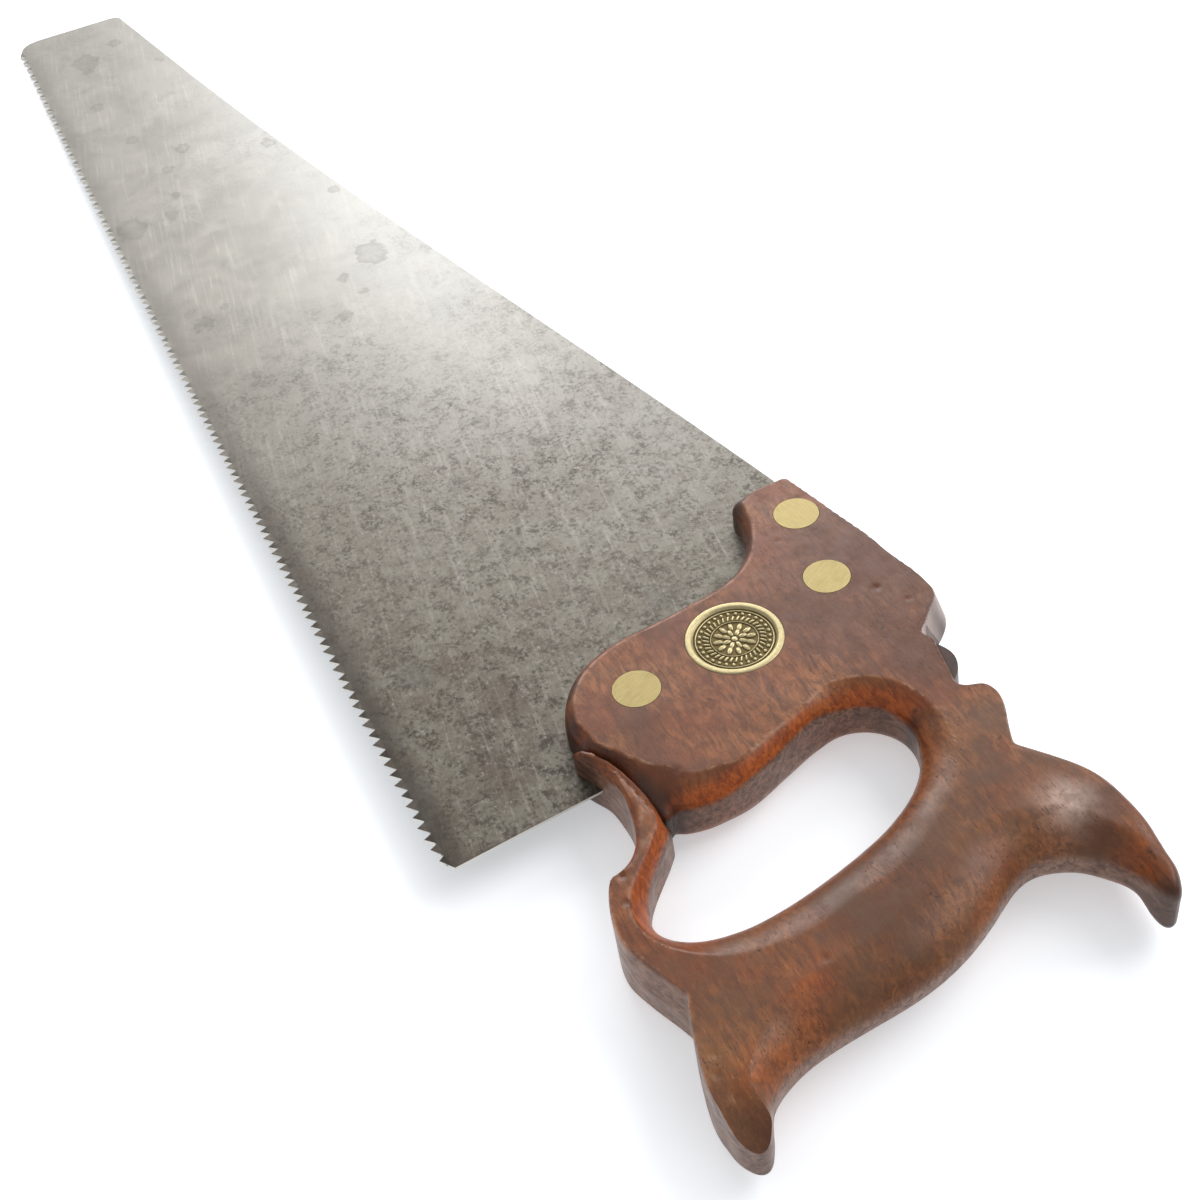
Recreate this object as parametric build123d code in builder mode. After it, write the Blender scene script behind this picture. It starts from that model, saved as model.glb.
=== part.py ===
"""A 24 inch hand saw with a closed wooden handle, held by split-nut saw screws.

The saw lies flat on its right cheek. X runs from the toe to the handle, along the teeth, Y from the
teeth to the back, and Z up out of the left face, the one with the medallion. Lengths are millimetres.
Outlines are drawn from the last tooth point at the heel, and HEEL_TOOTH puts that point in the model.
"""

import os
from math import radians, tan

from build123d import *

# Frame: the last tooth point lies here, so the whole saw is centred on the origin.
HEEL_TOOTH = (244.65, -80.86)

# Thicknesses
HANDLE_THICK = 21.0
PLATE_THICK = 0.9
PLATE_Z = (HANDLE_THICK - PLATE_THICK) / 2

# Teeth
TOOTH_COUNT = 135
TOOTH_PITCH = 4.42
TOOTH_DEPTH = 3.0
TOOTH_RAKE = 18
TOOTH_POINT_FLAT = 0.3
TOOTH_LINE_Y = -0.8
TOOTH_LINE_BREAST = 2.1
WORN_TEETH = (0.73, 0.85)

# Plate outline
HEEL_CORNER = (4.3, 3.3)
HEEL_EXIT = (1.6, 44.7)
HIDDEN_EDGE = [(-20.0, 154.5), (-14.0, 152.5), (-3.5, 123.0)]
NOSE_ENTRY = (-75.2, 147.6)
BACK_DIP = (-79.5, 150.6)
BACK_LINE = [(-498.6, 70.9), (-310.1, 106.0), (-177.8, 133.7), (-86.0, 152.2)]
TOE_BACK = (-600.5, 54.9)
TOE_EDGE = [(-605.3, 12.7), (-604.7, 48.6)]
TOE_TOOTH = (-597.4, 1.6)

# Kerf: the saw cut in the handle that holds the plate
KERF_GAP = 0.4
KERF_FRONT = -100.0
KERF_FOOT = 20.0

# Saw screws
SCREWS = {"upper": (-57.8, 145.0), "middle": (-28.8, 138.4), "lower": (-18.8, 70.4)}
MEDALLION_AT = (-21.5, 103.3)
HEAD_R = 7.0
HEAD_THICK = 2.2
NECK_SQUARE = 5.4
NECK_LENGTH = 4.6
SHANK_R = 2.4
SCREW_HOLE_R = 2.6
NUT_R = 6.3
NUT_THICK = 2.6
NUT_SLOT = 1.3
NUT_SLOT_DEPTH = 1.1
SHANK_END = 0.3
MEDALLION_R = 14.35
MEDALLION_THICK = 3.0
MEDALLION_RIM = 2.3
MEDALLION_DISH = 0.9
STUD_SOCKET = 1.2

# Handle outline, clockwise from the foot of the nose
NOSE_FRONT = [(-75.2, 133.5), (-75.2, 149.8)]
TOP_EDGE = [(-74.0, 151.3), (-18.0, 162.6)]
TOP_REAR = [(-10.0, 164.6), (-3.0, 162.8), (2.0, 158.0), (5.6, 152.0)]
NIB = [(13.0, 154.0), (23.4, 147.4)]
STEP = [(27.4, 148.0), (30.0, 152.8), (32.6, 154.0), (45.4, 150.2), (51.3, 147.4)]
HORN = [(59.8, 153.4), (68.4, 158.3), (82.8, 160.5), (99.7, 158.0), (107.2, 155.0)]
HORN_TIP = [(110.0, 153.0), (108.0, 151.4)]
GRIP_BACK = [(94.6, 148.7), (86.2, 141.5), (82.7, 131.5), (89.1, 115.3), (96.9, 95.3), (99.2, 75.0)]
GRIP_HEEL = [(100.2, 60.0), (104.9, 44.8), (114.2, 36.6)]
SPUR_TIP = [(116.0, 34.8), (114.4, 32.8)]
SPUR = [(108.6, 30.4), (101.6, 29.5), (92.7, 31.0), (83.9, 33.6), (76.0, 36.4)]
GUARD = [(64.1, 31.2), (55.3, 29.4), (46.7, 30.6), (38.6, 33.8)]
GUARD_CORNER = (35.7, 35.7)
TONGUE_UNDER = [(34.0, 41.4), (30.0, 45.6), (20.0, 49.4), (11.0, 50.6), (2.0, 49.0), (-5.5, 45.8)]
TONGUE_TIP = [(-9.8, 45.6), (-11.2, 47.8)]
CHEEK_FOOT = [(-17.0, 47.2), (-26.0, 50.6), (-35.0, 58.4), (-39.8, 69.5)]
CHEEK_FRONT = [(-41.4, 84.0), (-42.3, 101.0), (-46.6, 117.4), (-57.5, 127.0), (-70.5, 130.0)]

# Hand hole, clockwise from its lower front corner
HOLE_CORNER = (21.5, 60.6)
HOLE_FRONT = [(23.9, 80.0), (19.0, 96.0), (14.2, 113.0), (18.3, 124.8), (30.0, 129.2)]
HOLE_BACK = [(45.5, 120.5), (57.4, 94.5), (62.3, 64.0), (58.0, 44.4)]
HOLE_FOOT = [(53.0, 40.2), (44.0, 42.0), (33.5, 51.2)]

# Rounding of the grip's back, from horn to spur
GRIP_ROUND = 4.0

# Groove that parts the tongue from the foot of the cheek, on each face
GROOVE = [(-11.5, 47.0), (-2.0, 54.5), (9.0, 57.6), (20.5, 59.4)]
GROOVE_WIDTH = 1.6
GROOVE_DEPTH = 3.5


def level(height):
    """The drawing plane at this height, with the last tooth point as its origin."""
    return Plane((HEEL_TOOTH[0], HEEL_TOOTH[1], height))


def at(point, height):
    """The plane at this height whose origin is a point of the drawing."""
    return Plane((HEEL_TOOTH[0] + point[0], HEEL_TOOTH[1] + point[1], height))


def tooth_points():
    """The toothed edge from the heel to the toe: each tooth's root, then the two ends of its point."""
    span = (TOOTH_COUNT - 1) * TOOTH_PITCH
    face_run = TOOTH_DEPTH * tan(radians(TOOTH_RAKE))
    points = []
    for number in range(TOOTH_COUNT):
        along = number * TOOTH_PITCH
        share = along / span
        tip_y = TOOTH_LINE_Y - 4 * TOOTH_LINE_BREAST * share * (1 - share)
        root_y = tip_y + TOOTH_DEPTH
        if number:
            points.append((TOOTH_PITCH - TOOTH_POINT_FLAT - face_run - along, root_y))
        if number < len(WORN_TEETH):
            tip_y = root_y - TOOTH_DEPTH * WORN_TEETH[number]
        points.append((-along, tip_y))
        points.append((-along - TOOTH_POINT_FLAT, tip_y))
    return points


# Saw plate: breasted tooth line, tapering to the toe, with its back heel corner hidden in the handle
with BuildPart() as saw_plate:
    with BuildSketch(level(PLATE_Z)):
        with BuildLine():
            Polyline(NOSE_ENTRY, *HIDDEN_EDGE, HEEL_EXIT, HEEL_CORNER, *tooth_points(), TOE_TOOTH)
            toe_round = Spline(TOE_TOOTH, TOE_EDGE[0], tangents=((-1, 0.25), (-0.02, 1)))
            toe_edge = Line(toe_round @ 1, TOE_EDGE[1])
            toe_corner = Spline(toe_edge @ 1, TOE_BACK, tangents=((0.01, 1), (1, 0.16)))
            plate_back = Spline(toe_corner @ 1, *BACK_LINE, tangents=((1, 0.16), (1, 0.187)))
            Spline(plate_back @ 1, BACK_DIP, NOSE_ENTRY, tangents=((1, 0.187), (0.5, -1)))
        make_face()
    extrude(amount=PLATE_THICK)
    with BuildSketch(level(PLATE_Z)):
        with Locations(*SCREWS.values(), MEDALLION_AT):
            Circle(SCREW_HOLE_R)
    extrude(amount=PLATE_THICK, mode=Mode.SUBTRACT)
saw_plate.part.label = "saw_plate"

# Handle: cut from a board, with a hand hole, two horns and a tongue carved against the cheek's foot
with BuildPart() as handle:
    with BuildSketch(level(0)):
        with BuildLine():
            Line(*NOSE_FRONT)
            Spline(NOSE_FRONT[1], TOP_EDGE[0], tangents=((0, 1), (1, 0.2)))
            Line(*TOP_EDGE)
            Spline(TOP_EDGE[1], *TOP_REAR, tangents=((1, 0.2), (0.5, -1)))
            ThreePointArc(TOP_REAR[-1], *NIB)
            Spline(NIB[-1], *STEP)
            Spline(STEP[-1], *HORN)
            Spline(HORN[-1], *HORN_TIP, tangents=((1, -0.4), (-1, -0.2)))
            Spline(HORN_TIP[-1], *GRIP_BACK, *GRIP_HEEL)
            Spline(GRIP_HEEL[-1], *SPUR_TIP, tangents=((1, -0.7), (-1, -0.5)))
            Spline(SPUR_TIP[-1], *SPUR)
            Spline(SPUR[-1], *GUARD)
            Line(GUARD[-1], GUARD_CORNER)
            Spline(GUARD_CORNER, *TONGUE_UNDER)
            Spline(TONGUE_UNDER[-1], *TONGUE_TIP, tangents=((-1, -0.5), (0.3, 1)))
            Line(TONGUE_TIP[-1], CHEEK_FOOT[0])
            Spline(*CHEEK_FOOT, *CHEEK_FRONT)
            Spline(CHEEK_FRONT[-1], NOSE_FRONT[0], tangents=((-1, 0.2), (0, 1)))
        make_face()
    extrude(amount=HANDLE_THICK)
    with BuildSketch(level(0)):
        with BuildLine():
            Spline(HOLE_CORNER, *HOLE_FRONT, *HOLE_BACK, *HOLE_FOOT, HOLE_CORNER)
        make_face()
    extrude(amount=HANDLE_THICK, mode=Mode.SUBTRACT)
    cheek_faces = handle.faces().filter_by(Axis.Z).sort_by(SortBy.AREA)[-2:]
    grip_edges = [face.outer_wire().edges().sort_by(SortBy.LENGTH)[-1] for face in cheek_faces]
    fillet(grip_edges, GRIP_ROUND)
    for face_z, cut in ((HANDLE_THICK, -GROOVE_DEPTH), (0, GROOVE_DEPTH)):
        with BuildSketch(level(face_z)):
            with BuildLine() as groove_path:
                Spline(*GROOVE)
            trace(line_width=GROOVE_WIDTH)
        extrude(amount=cut, mode=Mode.SUBTRACT)
    with BuildSketch(level(PLATE_Z)):
        with BuildLine():
            gap = KERF_GAP
            hidden = [(x + gap, y + gap) for x, y in (*HIDDEN_EDGE, HEEL_EXIT)]
            foot = [(HEEL_CORNER[0] + gap, KERF_FOOT), (KERF_FRONT, KERF_FOOT)]
            entry = (NOSE_ENTRY[0], NOSE_ENTRY[1] + gap)
            Polyline(entry, *hidden, *foot, (KERF_FRONT, entry[1]), close=True)
        make_face()
    extrude(amount=PLATE_THICK, mode=Mode.SUBTRACT)
    with BuildSketch(level(0)):
        with Locations(*SCREWS.values(), MEDALLION_AT):
            Circle(SCREW_HOLE_R)
    extrude(amount=HANDLE_THICK, mode=Mode.SUBTRACT)
    with BuildSketch(level(0)):
        with Locations(*SCREWS.values(), MEDALLION_AT):
            Circle(NUT_R)
    extrude(amount=NUT_THICK, mode=Mode.SUBTRACT)
    with BuildSketch(level(HANDLE_THICK - HEAD_THICK)):
        with Locations(*SCREWS.values()):
            Circle(HEAD_R)
    extrude(amount=HEAD_THICK, mode=Mode.SUBTRACT)
    with BuildSketch(level(HANDLE_THICK - HEAD_THICK - NECK_LENGTH)):
        with Locations(*SCREWS.values()):
            Rectangle(NECK_SQUARE, NECK_SQUARE)
    extrude(amount=NECK_LENGTH, mode=Mode.SUBTRACT)
    with BuildSketch(level(HANDLE_THICK - MEDALLION_THICK)):
        with Locations(MEDALLION_AT):
            Circle(MEDALLION_R)
    extrude(amount=MEDALLION_THICK, mode=Mode.SUBTRACT)
handle.part.label = "handle"

# Medallion: a turned brass disc let in flush with the left cheek, dished inside its rim
with BuildPart() as medallion:
    with BuildSketch(at(MEDALLION_AT, HANDLE_THICK - MEDALLION_THICK)):
        Circle(MEDALLION_R)
    extrude(amount=MEDALLION_THICK)
    with BuildSketch(at(MEDALLION_AT, HANDLE_THICK - MEDALLION_DISH)):
        Circle(MEDALLION_R - MEDALLION_RIM)
    extrude(amount=MEDALLION_DISH, mode=Mode.SUBTRACT)
    with BuildSketch(at(MEDALLION_AT, HANDLE_THICK - MEDALLION_THICK)):
        Circle(SHANK_R)
    extrude(amount=STUD_SOCKET, mode=Mode.SUBTRACT)
medallion.part.label = "medallion"

# Medallion stud: the screw shank fixed in the socket on the medallion's back
with BuildPart() as medallion_stud:
    with BuildSketch(at(MEDALLION_AT, SHANK_END)):
        Circle(SHANK_R)
    extrude(amount=HANDLE_THICK - MEDALLION_THICK + STUD_SOCKET - SHANK_END)
medallion_stud.part.label = "medallion_stud"


def make_screw(name, point):
    """A saw screw: flush disc head, square neck that bites the wood, and a round shank to the nut."""
    neck_foot = HANDLE_THICK - HEAD_THICK - NECK_LENGTH
    with BuildPart() as screw:
        with BuildSketch(at(point, HANDLE_THICK - HEAD_THICK)):
            Circle(HEAD_R)
        extrude(amount=HEAD_THICK)
        with BuildSketch(at(point, neck_foot)):
            Rectangle(NECK_SQUARE, NECK_SQUARE)
        extrude(amount=NECK_LENGTH)
        with BuildSketch(at(point, SHANK_END)):
            Circle(SHANK_R)
        extrude(amount=neck_foot - SHANK_END)
    screw.part.label = name
    return screw.part


def make_nut(name, point):
    """A split nut: a flat threaded disc, flush with the right cheek, with a driver slot across it."""
    with BuildPart() as nut:
        with BuildSketch(at(point, 0)):
            Circle(NUT_R)
            Circle(SHANK_R, mode=Mode.SUBTRACT)
        extrude(amount=NUT_THICK)
        with BuildSketch(at(point, 0)):
            Rectangle(2 * NUT_R, NUT_SLOT)
        extrude(amount=NUT_SLOT_DEPTH, mode=Mode.SUBTRACT)
    nut.part.label = name
    return nut.part


pieces = [saw_plate.part, handle.part, medallion.part, medallion_stud.part]
pieces.append(make_nut("medallion_nut", MEDALLION_AT))
for place, point in SCREWS.items():
    pieces.append(make_screw(f"{place}_screw", point))
    pieces.append(make_nut(f"{place}_nut", point))

os.makedirs("parts", exist_ok=True)
for piece in pieces:
    export_step(piece, f"parts/{piece.label}.step")
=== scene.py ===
"""A 24 inch hand saw with a carved wooden handle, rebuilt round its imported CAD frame.

Everything is in metres, in the frame of the CAD: X runs from the toe to the handle, Y from the teeth to
the back, and Z up out of the left cheek. Sculpting sizes are millimetres, and positions on the saw are
measured from the last tooth point at the heel, which lies at HEEL in the frame.
"""

from functools import partial
from math import atan2, cos, pi, radians, sin, tan
from types import SimpleNamespace

import bmesh
import bpy
import numpy as np
from mathutils import Matrix, Vector


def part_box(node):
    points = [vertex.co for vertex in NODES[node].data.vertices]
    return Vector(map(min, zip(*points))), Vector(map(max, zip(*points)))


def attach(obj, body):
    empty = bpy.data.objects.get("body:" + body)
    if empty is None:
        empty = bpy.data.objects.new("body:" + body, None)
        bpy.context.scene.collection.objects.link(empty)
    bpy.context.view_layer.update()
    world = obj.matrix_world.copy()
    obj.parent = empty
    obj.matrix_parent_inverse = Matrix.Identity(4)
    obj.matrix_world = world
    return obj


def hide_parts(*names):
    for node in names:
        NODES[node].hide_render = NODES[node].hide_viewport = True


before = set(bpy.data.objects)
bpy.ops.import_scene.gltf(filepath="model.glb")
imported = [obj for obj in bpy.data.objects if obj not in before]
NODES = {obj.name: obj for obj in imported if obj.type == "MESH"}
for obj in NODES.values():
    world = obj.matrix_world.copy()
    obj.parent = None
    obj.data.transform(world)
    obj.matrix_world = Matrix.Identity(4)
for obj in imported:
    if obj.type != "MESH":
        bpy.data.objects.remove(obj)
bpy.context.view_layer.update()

MM = 0.001
HEEL = np.array((244.65, -80.86))

# The handle's thickness, the cell of its field and the margin round it, and where its outline is taken
THICK = 21.0
HALF = THICK / 2
CELL = 0.6
MARGIN = 3.0
SECTION_HEIGHT = 15.0
OUTLINE_PASSES = 2

# The groove that parts the raised cheek from the tongue, from its front end to the hand hole
GROOVE_PATH = [
    (-10.8, 42.9), (-7.6, 47.4), (-4.0, 50.0), (0.8, 52.3),
    (5.5, 53.8), (10.7, 54.9), (17.0, 55.8), (24.0, 56.6), (30.0, 57.2),
]

# How the handle's edges are worked, as x, y, reach across the face, reach down the side, overshoot
# that leaves a crisp arris, and how far the wall leans in towards the faces. Names that start with
# hole belong to the hand hole's side of the wood, foot to both sides, and the rest to the outline's.
EDGE_WORK = {
    "nose foot": (-72, 130.5, 5, 5, 0, 0),
    "nose under": (-64, 129.5, 4.5, 4.5, 0.3, 0),
    "nose front": (-75.2, 142, 1.4, 1.6, 0, 0),
    "top front": (-68, 152.5, 1, 1, 0, 0),
    "top middle": (-45, 157, 0.9, 0.9, 0, 0.3),
    "top back": (-20, 162, 1, 1, 0, 1.4),
    "shoulder": (-8, 164.5, 0.8, 0.8, 0.1, 3.2),
    "shoulder rear": (2, 158.5, 0.7, 0.7, 0.1, 4.6),
    "nib valley": (6.5, 152.5, 0.8, 0.9, 0, 3),
    "nib": (15, 154, 1.6, 2.4, 0, 0.4),
    "step foot": (24, 147.6, 1, 1.2, 0, 0.6),
    "step": (31, 153.5, 0.9, 1, 0.1, 0.4),
    "step slope": (43, 151, 1.2, 1.6, 0.2, 0.6),
    "horn start": (55, 150, 3, 2.6, 0, 0),
    "horn crest": (70, 158.8, 3, 2.6, 0, 0),
    "horn back": (87, 160.3, 3, 3, 0, 0),
    "horn nape": (101, 158, 3, 3, 0, 0),
    "horn tip": (108.5, 153.5, 4.5, 5.5, 0, 0),
    "horn under": (97, 149.5, 17, 9.6, 0, 0),
    "throat": (85.5, 140, 16, 9.6, 0, 0),
    "grip top": (83.5, 128, 18, 9.6, 0, 0),
    "grip": (93, 106, 18, 9.8, 0, 0),
    "grip low": (99, 75, 18, 9.8, 0, 0),
    "grip heel": (100.2, 58, 17, 9.6, 0, 0),
    "spur back": (105, 45, 13, 9.4, 0, 0),
    "spur tip": (115.5, 35, 2.8, 3.4, 0, 0),
    "spur": (100, 29.6, 0.8, 0.9, 0.2, 0),
    "spur root": (82, 34, 0.8, 0.9, 0.2, 0),
    "guard right": (66, 32, 1.4, 1.6, 0.4, 1),
    "guard left": (48, 30.5, 0.9, 1, 0.3, 0),
    "guard corner": (36.5, 35, 0.8, 0.9, 0.1, 0),
    "tongue root": (31, 44.8, 0.9, 1, 0.1, 0),
    "tongue": (11, 50.4, 1, 1.1, 0.1, 0),
    "tongue end": (-3, 47, 2.4, 3, 0, 0),
    "tongue tip": (-10.5, 46, 3.4, 5, 0, 0),
    "cheek foot": (-17, 47.5, 6, 6.5, 0.4, 0),
    "cheek foot front": (-27, 51, 5, 6, 0.4, 0),
    "cheek curve": (-36, 60, 5.5, 6, 0.4, 0),
    "cheek front": (-41, 78, 5, 5, 0.4, 0),
    "cheek front high": (-44, 108, 3.8, 3.8, 0.3, 0),
    "nose curve": (-55, 126, 4, 4, 0.3, 0),
    "foot": (0, 55, 6, 7, 0.5, 0),
    "foot middle": (6.5, 58.5, 9, 8, 0.5, 0),
    "foot back": (13.5, 62.5, 16, 8.5, 0.6, 0),
    "hole front low": (22.5, 70, 12, 8, 0.7, 0),
    "hole front": (21.5, 88, 7.5, 7, 0.7, 0),
    "hole front high": (15.5, 105, 6, 6, 0.6, 0),
    "hole crown": (16, 121, 12, 7.5, 0.7, 0),
    "hole top": (30, 129.2, 13, 8, 0.6, 0),
    "hole back high": (44, 121.5, 13, 9.4, 0, 0),
    "hole back": (56.5, 97, 15, 9.8, 0, 0),
    "hole back low": (62, 68, 15, 9.8, 0, 0),
    "hole heel": (60, 47, 12, 9.4, 0, 0),
    "hole foot": (50, 40, 12, 9, 0.2, 0),
    "hole lip": (38, 46.5, 9.5, 7.5, 0.4, 0),
    "hole corner": (26, 57, 8.5, 7, 0.5, 0),
}
# How quickly one control gives way to the next, along an edge and from the outline to the hand hole,
# and how much the round-overs and the faces wander at random
BLEND_POWER = 4
BLEND_PASSES = 24
SIDE_BLEND = 2.0
WANDER = 0.05
HOLLOW = 0.05

# The tongue's edge beside the groove, worked as in EDGE_WORK. It reaches this far from the groove, and
# fades out near the hand hole and the outline. LIP_GROOVE is a line cut beside it, as place, half
# width and depth. The cheek blends into its foot, and all of this ends at the groove's span.
LIP = (1.0, 1.1, 0.1, 0.0)
LIP_REACH = (1.5, 4.5)
LIP_HOLE_FADE = (1.0, 7.0)
LIP_RIM_FADE = (0.8, 3.0)
LIP_GROOVE = (1.7, 0.5, 0.45)
FOOT_BLEND = 7.0
GROOVE_SPAN = 16.0
GROOVE_BLEND = 0.35
TONGUE_BLEND = (0.2, 0.6)

# Places where a face lies lower: x, y, radius, depth
DENTS = [
    (-17, 148, 1, 0.5),
    (-8, 153, 0.7, 0.3),
    (27.5, 132, 1.3, 0.7),
    (29.5, 134.5, 0.9, 0.5),
    (14, 66, 1.2, 0.5),
    (70, 80, 1.4, 0.25),
    (84, 70, 1.1, 0.25),
    (-50, 134, 0.8, 0.2),
    (104, 34.5, 1.6, 0.5),
    (98, 33, 1.2, 0.4),
    (93, 34.5, 0.9, 0.35),
    (45, 36, 0.9, 0.4),
    (36.8, 38.5, 1, 0.6),
]
# Tips whose left face slopes away: x, y, radius, depth
SLOPES = [(118, 31.5, 11, 8.6)]
# Where handling has left dirt on the round-overs: x, y, spread, share
GRIME_SPOTS = [
    (-31, 54, 7, 0.9),
    (-16, 49, 6.5, 1),
    (-8, 51.5, 4.5, 0.9),
    (-1, 54, 3.5, 0.7),
    (18, 58.5, 4.5, 0.9),
    (23, 59.5, 4.5, 1),
    (-72, 132, 6, 0.9),
    (-56, 126.5, 6, 0.7),
    (-44, 112, 6, 0.5),
    (109, 153, 6, 0.8),
    (114.5, 36, 5, 0.5),
    (1, 160, 5, 0.9),
    (30, 130, 3.5, 0.8),
    (20, 125, 3, 0.4),
    (-4, 47.5, 5, 0.7),
]
# Where the varnish has worn to orange, and where a pale highlight is painted on the horn's top face
ORANGE_SPOTS = [
    (94, 152, 4.5, 0.6),
    (99, 151.5, 4, 0.5),
    (84, 70, 5.5, 0.4),
    (89, 64, 5.5, 0.55),
    (95.5, 58, 5, 0.4),
    (99.5, 49, 4.5, 0.6),
    (101.5, 42.5, 5.5, 0.75),
    (62.9, 46.7, 5, 0.5),
]
PAINTED_HIGHLIGHT_SPOTS = [(74.5, 146.5, 6.5, 0.85)]
# The line through the hand hole that parts its front from the grip: a point on it, and its slope
GRIP_EDGE = (30.0, 129.0, 0.28)
# The horn's and the spur's tips. The outline is rounded and let out near them, fading over this reach.
TIPS = ((109.0, 152.6), (115.4, 34.4))
TIP_PASSES = 20
TIP_GAIN = 1.0
TIP_REACH = (5.0, 12.0)
# The line along which the nib steps down from the cheek, and how its drop starts, ends and grows
NIB_LINE = ((3.0, 151.8), (24.6, 146.6))
NIB_STEP = (-0.3, 0.6)
NIB_START = (-1.5, 0.5)
NIB_END = (21.5, 23.0)
NIB_DROP = 3.2
NIB_FALL = 0.12

# Brass seats in the handle as radius and floor, and the kerf that holds the plate
HEAD_SEAT = (7.0, 18.8)
MEDAL_SEAT = (14.35, 18.0)
NUT_SEAT = (6.3, 2.6)
SCREWS = ("upper_screw", "middle_screw", "lower_screw")
SEATS = {**dict.fromkeys(SCREWS, HEAD_SEAT), "medallion": MEDAL_SEAT}
NUTS = ("upper_nut", "middle_nut", "lower_nut", "medallion_nut")
SHANK_HOLE = 2.6
HOLE_SIDES = 32
SEAT_GAP = 0.14
OVERCUT = 1.0
KERF = [
    (-74.9, 148.0), (-19.6, 154.9), (-13.6, 152.9), (-3.1, 123.4),
    (2.0, 45.1), (4.7, 20.0), (-100.0, 20.0), (-100.0, 148.0),
]
HANDLE_CREASE = 38

# Where marks for the material begin and end by how far a surface faces up, 0 on a wall, 1 on a cheek
WALL_UPTO = (0.15, 0.45)
ROLLED_FROM = (0.12, 0.4)
ROLLED_UPTO = (0.75, 0.97)
SPOT_FROM = (0.1, 0.35)
PALE_WALL_UPTO = (0.4, 0.7)
CREASE_UPTO = (0.93, 0.995)
GRIME_UPTO = (0.93, 0.998)
# The other marks' reaches in mm, and their shares
LOWER_HALF = (-2.0, 2.0)
LOWER_WEAR = 0.3
HOLE_WEAR_REACH = 9.0
GRIP_CHANGE = (-5, 5)
GRIP_UNWORN = 0.8
HELD_FROM = (2.0, 14.0)
CHEEK_WEAR_REACH = 9.0
TONGUE_WEAR_REACH = 2.0
ARRIS_WIDTH = 0.55
ARRIS_DEPTH = (1.5, 0.5)
ARRIS_WORK = (0.08, 0.3)
# where a painted reflection lies on walls that lean in, and how far along the handle it goes
PALE_LEAN = (1.6, 3.4)
PALE_WALL_END = 6.5
# where shade is painted in the groove and in the crease above it, partly dirt
CREVICE_REACH = (0.2, 2.2)
CREVICE_LOW = (1.5, 5.0)
CREVICE_HIGH = (HALF - 3, HALF - 0.8)
CREASE_REACH = (2.5, 6.0)
CREASE_SHARE = 0.85
SUNK_DEPTH = (0.25, 0.8)

# The plate's faces, and the borders of its toothed stretch
PLATE_LOW = 10.05
PLATE_HIGH = 10.95
HEEL_CORNER = (4.3, 3.3)
TOE_TOOTH = (-597.4, 1.6)
TOOTHED_TOP = 2.6
TOOTHED_END = 2.0
SAME_POINT = 0.02

# Its teeth: how they stand, how they are filed and set, and how the first two are worn
TEETH = 135
PITCH = 4.42
TOOTH_DEPTH = 3.0
TOOTH_RAKE = radians(18)
TOOTH_FLAT = 0.3
LINE_Y = -0.8
BREAST = 2.1
WORN = (0.73, 0.85)
WEAR = 0.05
TOE_WEAR = 0.10
JITTER = 0.10
TOOTH_SET = 0.2
FLEAM_SHIFT = 0.16
FLEAM_DROP = 0.32

# The medallion's levels, and its mesh
MEDAL_R, MEDAL_FLOOR = MEDAL_SEAT
MEDAL_INNER = MEDAL_R - 2.3
MEDAL_CORE = 0.05
MEDAL_TOP = 21.15
MEDAL_GROUND = 20.15
MEDAL_RELIEF = 0.55
MEDAL_TURNS = 360
MEDAL_RINGS = 110
RIM_RINGS = 16
MEDAL_CREASE = 50
# Its rim's half width, how far its corners fall at the half width and at most, and where it begins
RIM_HALF = 0.95
RIM_FALL = 0.2
RIM_FALL_MOST = 0.45
RIM_BEGINS = (-0.3, 0.1)
RIM_SHINE = 0.62
SKIRT_SHINE = 0.2
# Its pattern: ridges as radius, half width and height; beads as count, radius and size; bars and leaves
# as count, radius, half length and half width, with the bars' slant and the leaves' shift; and its boss
RIDGES = ((11.3, 0.28, 0.7), (6.9, 0.22, 0.6))
BEADS = (30, 10.2, 0.62)
BARS = (36, 8.3, 1.0, 0.42)
BAR_SLANT = 0.35
LEAVES = ((12, 4.9, 1.6, 0.85, 0.0), (8, 2.6, 1.5, 0.8, 0.5))
VEIN = 0.1
VEIN_DEPTH = 0.25
BOSS = (1.1, 0.9)


# ---------------------------------------------------------------- distance maps and the handle's field


def node_section(name, height):
    """The closed outlines where a level plane cuts a CAD node, largest first, in mm."""
    mesh = NODES[name].data
    mesh.calc_loop_triangles()
    points = np.empty(len(mesh.vertices) * 3)
    mesh.vertices.foreach_get("co", points)
    corners = np.empty(len(mesh.loop_triangles) * 3, int)
    mesh.loop_triangles.foreach_get("vertices", corners)
    triangles = points.reshape(-1, 3)[corners.reshape(-1, 3)] / MM
    above = triangles[:, :, 2] > height
    cut = above.any(1) & ~above.all(1)
    triangles, above = triangles[cut], above[cut]
    ends, crossed = [], []
    for a, b in ((0, 1), (1, 2), (2, 0)):
        rise = triangles[:, b, 2] - triangles[:, a, 2]
        share = (height - triangles[:, a, 2]) / np.where(rise == 0, 1, rise)
        ends.append(triangles[:, a, :2] + share[:, None] * (triangles[:, b, :2] - triangles[:, a, :2]))
        crossed.append(above[:, a] != above[:, b])
    segments = np.stack(ends, 1)[np.stack(crossed, 1)].reshape(-1, 2, 2)
    return chain_loops(segments)


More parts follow.
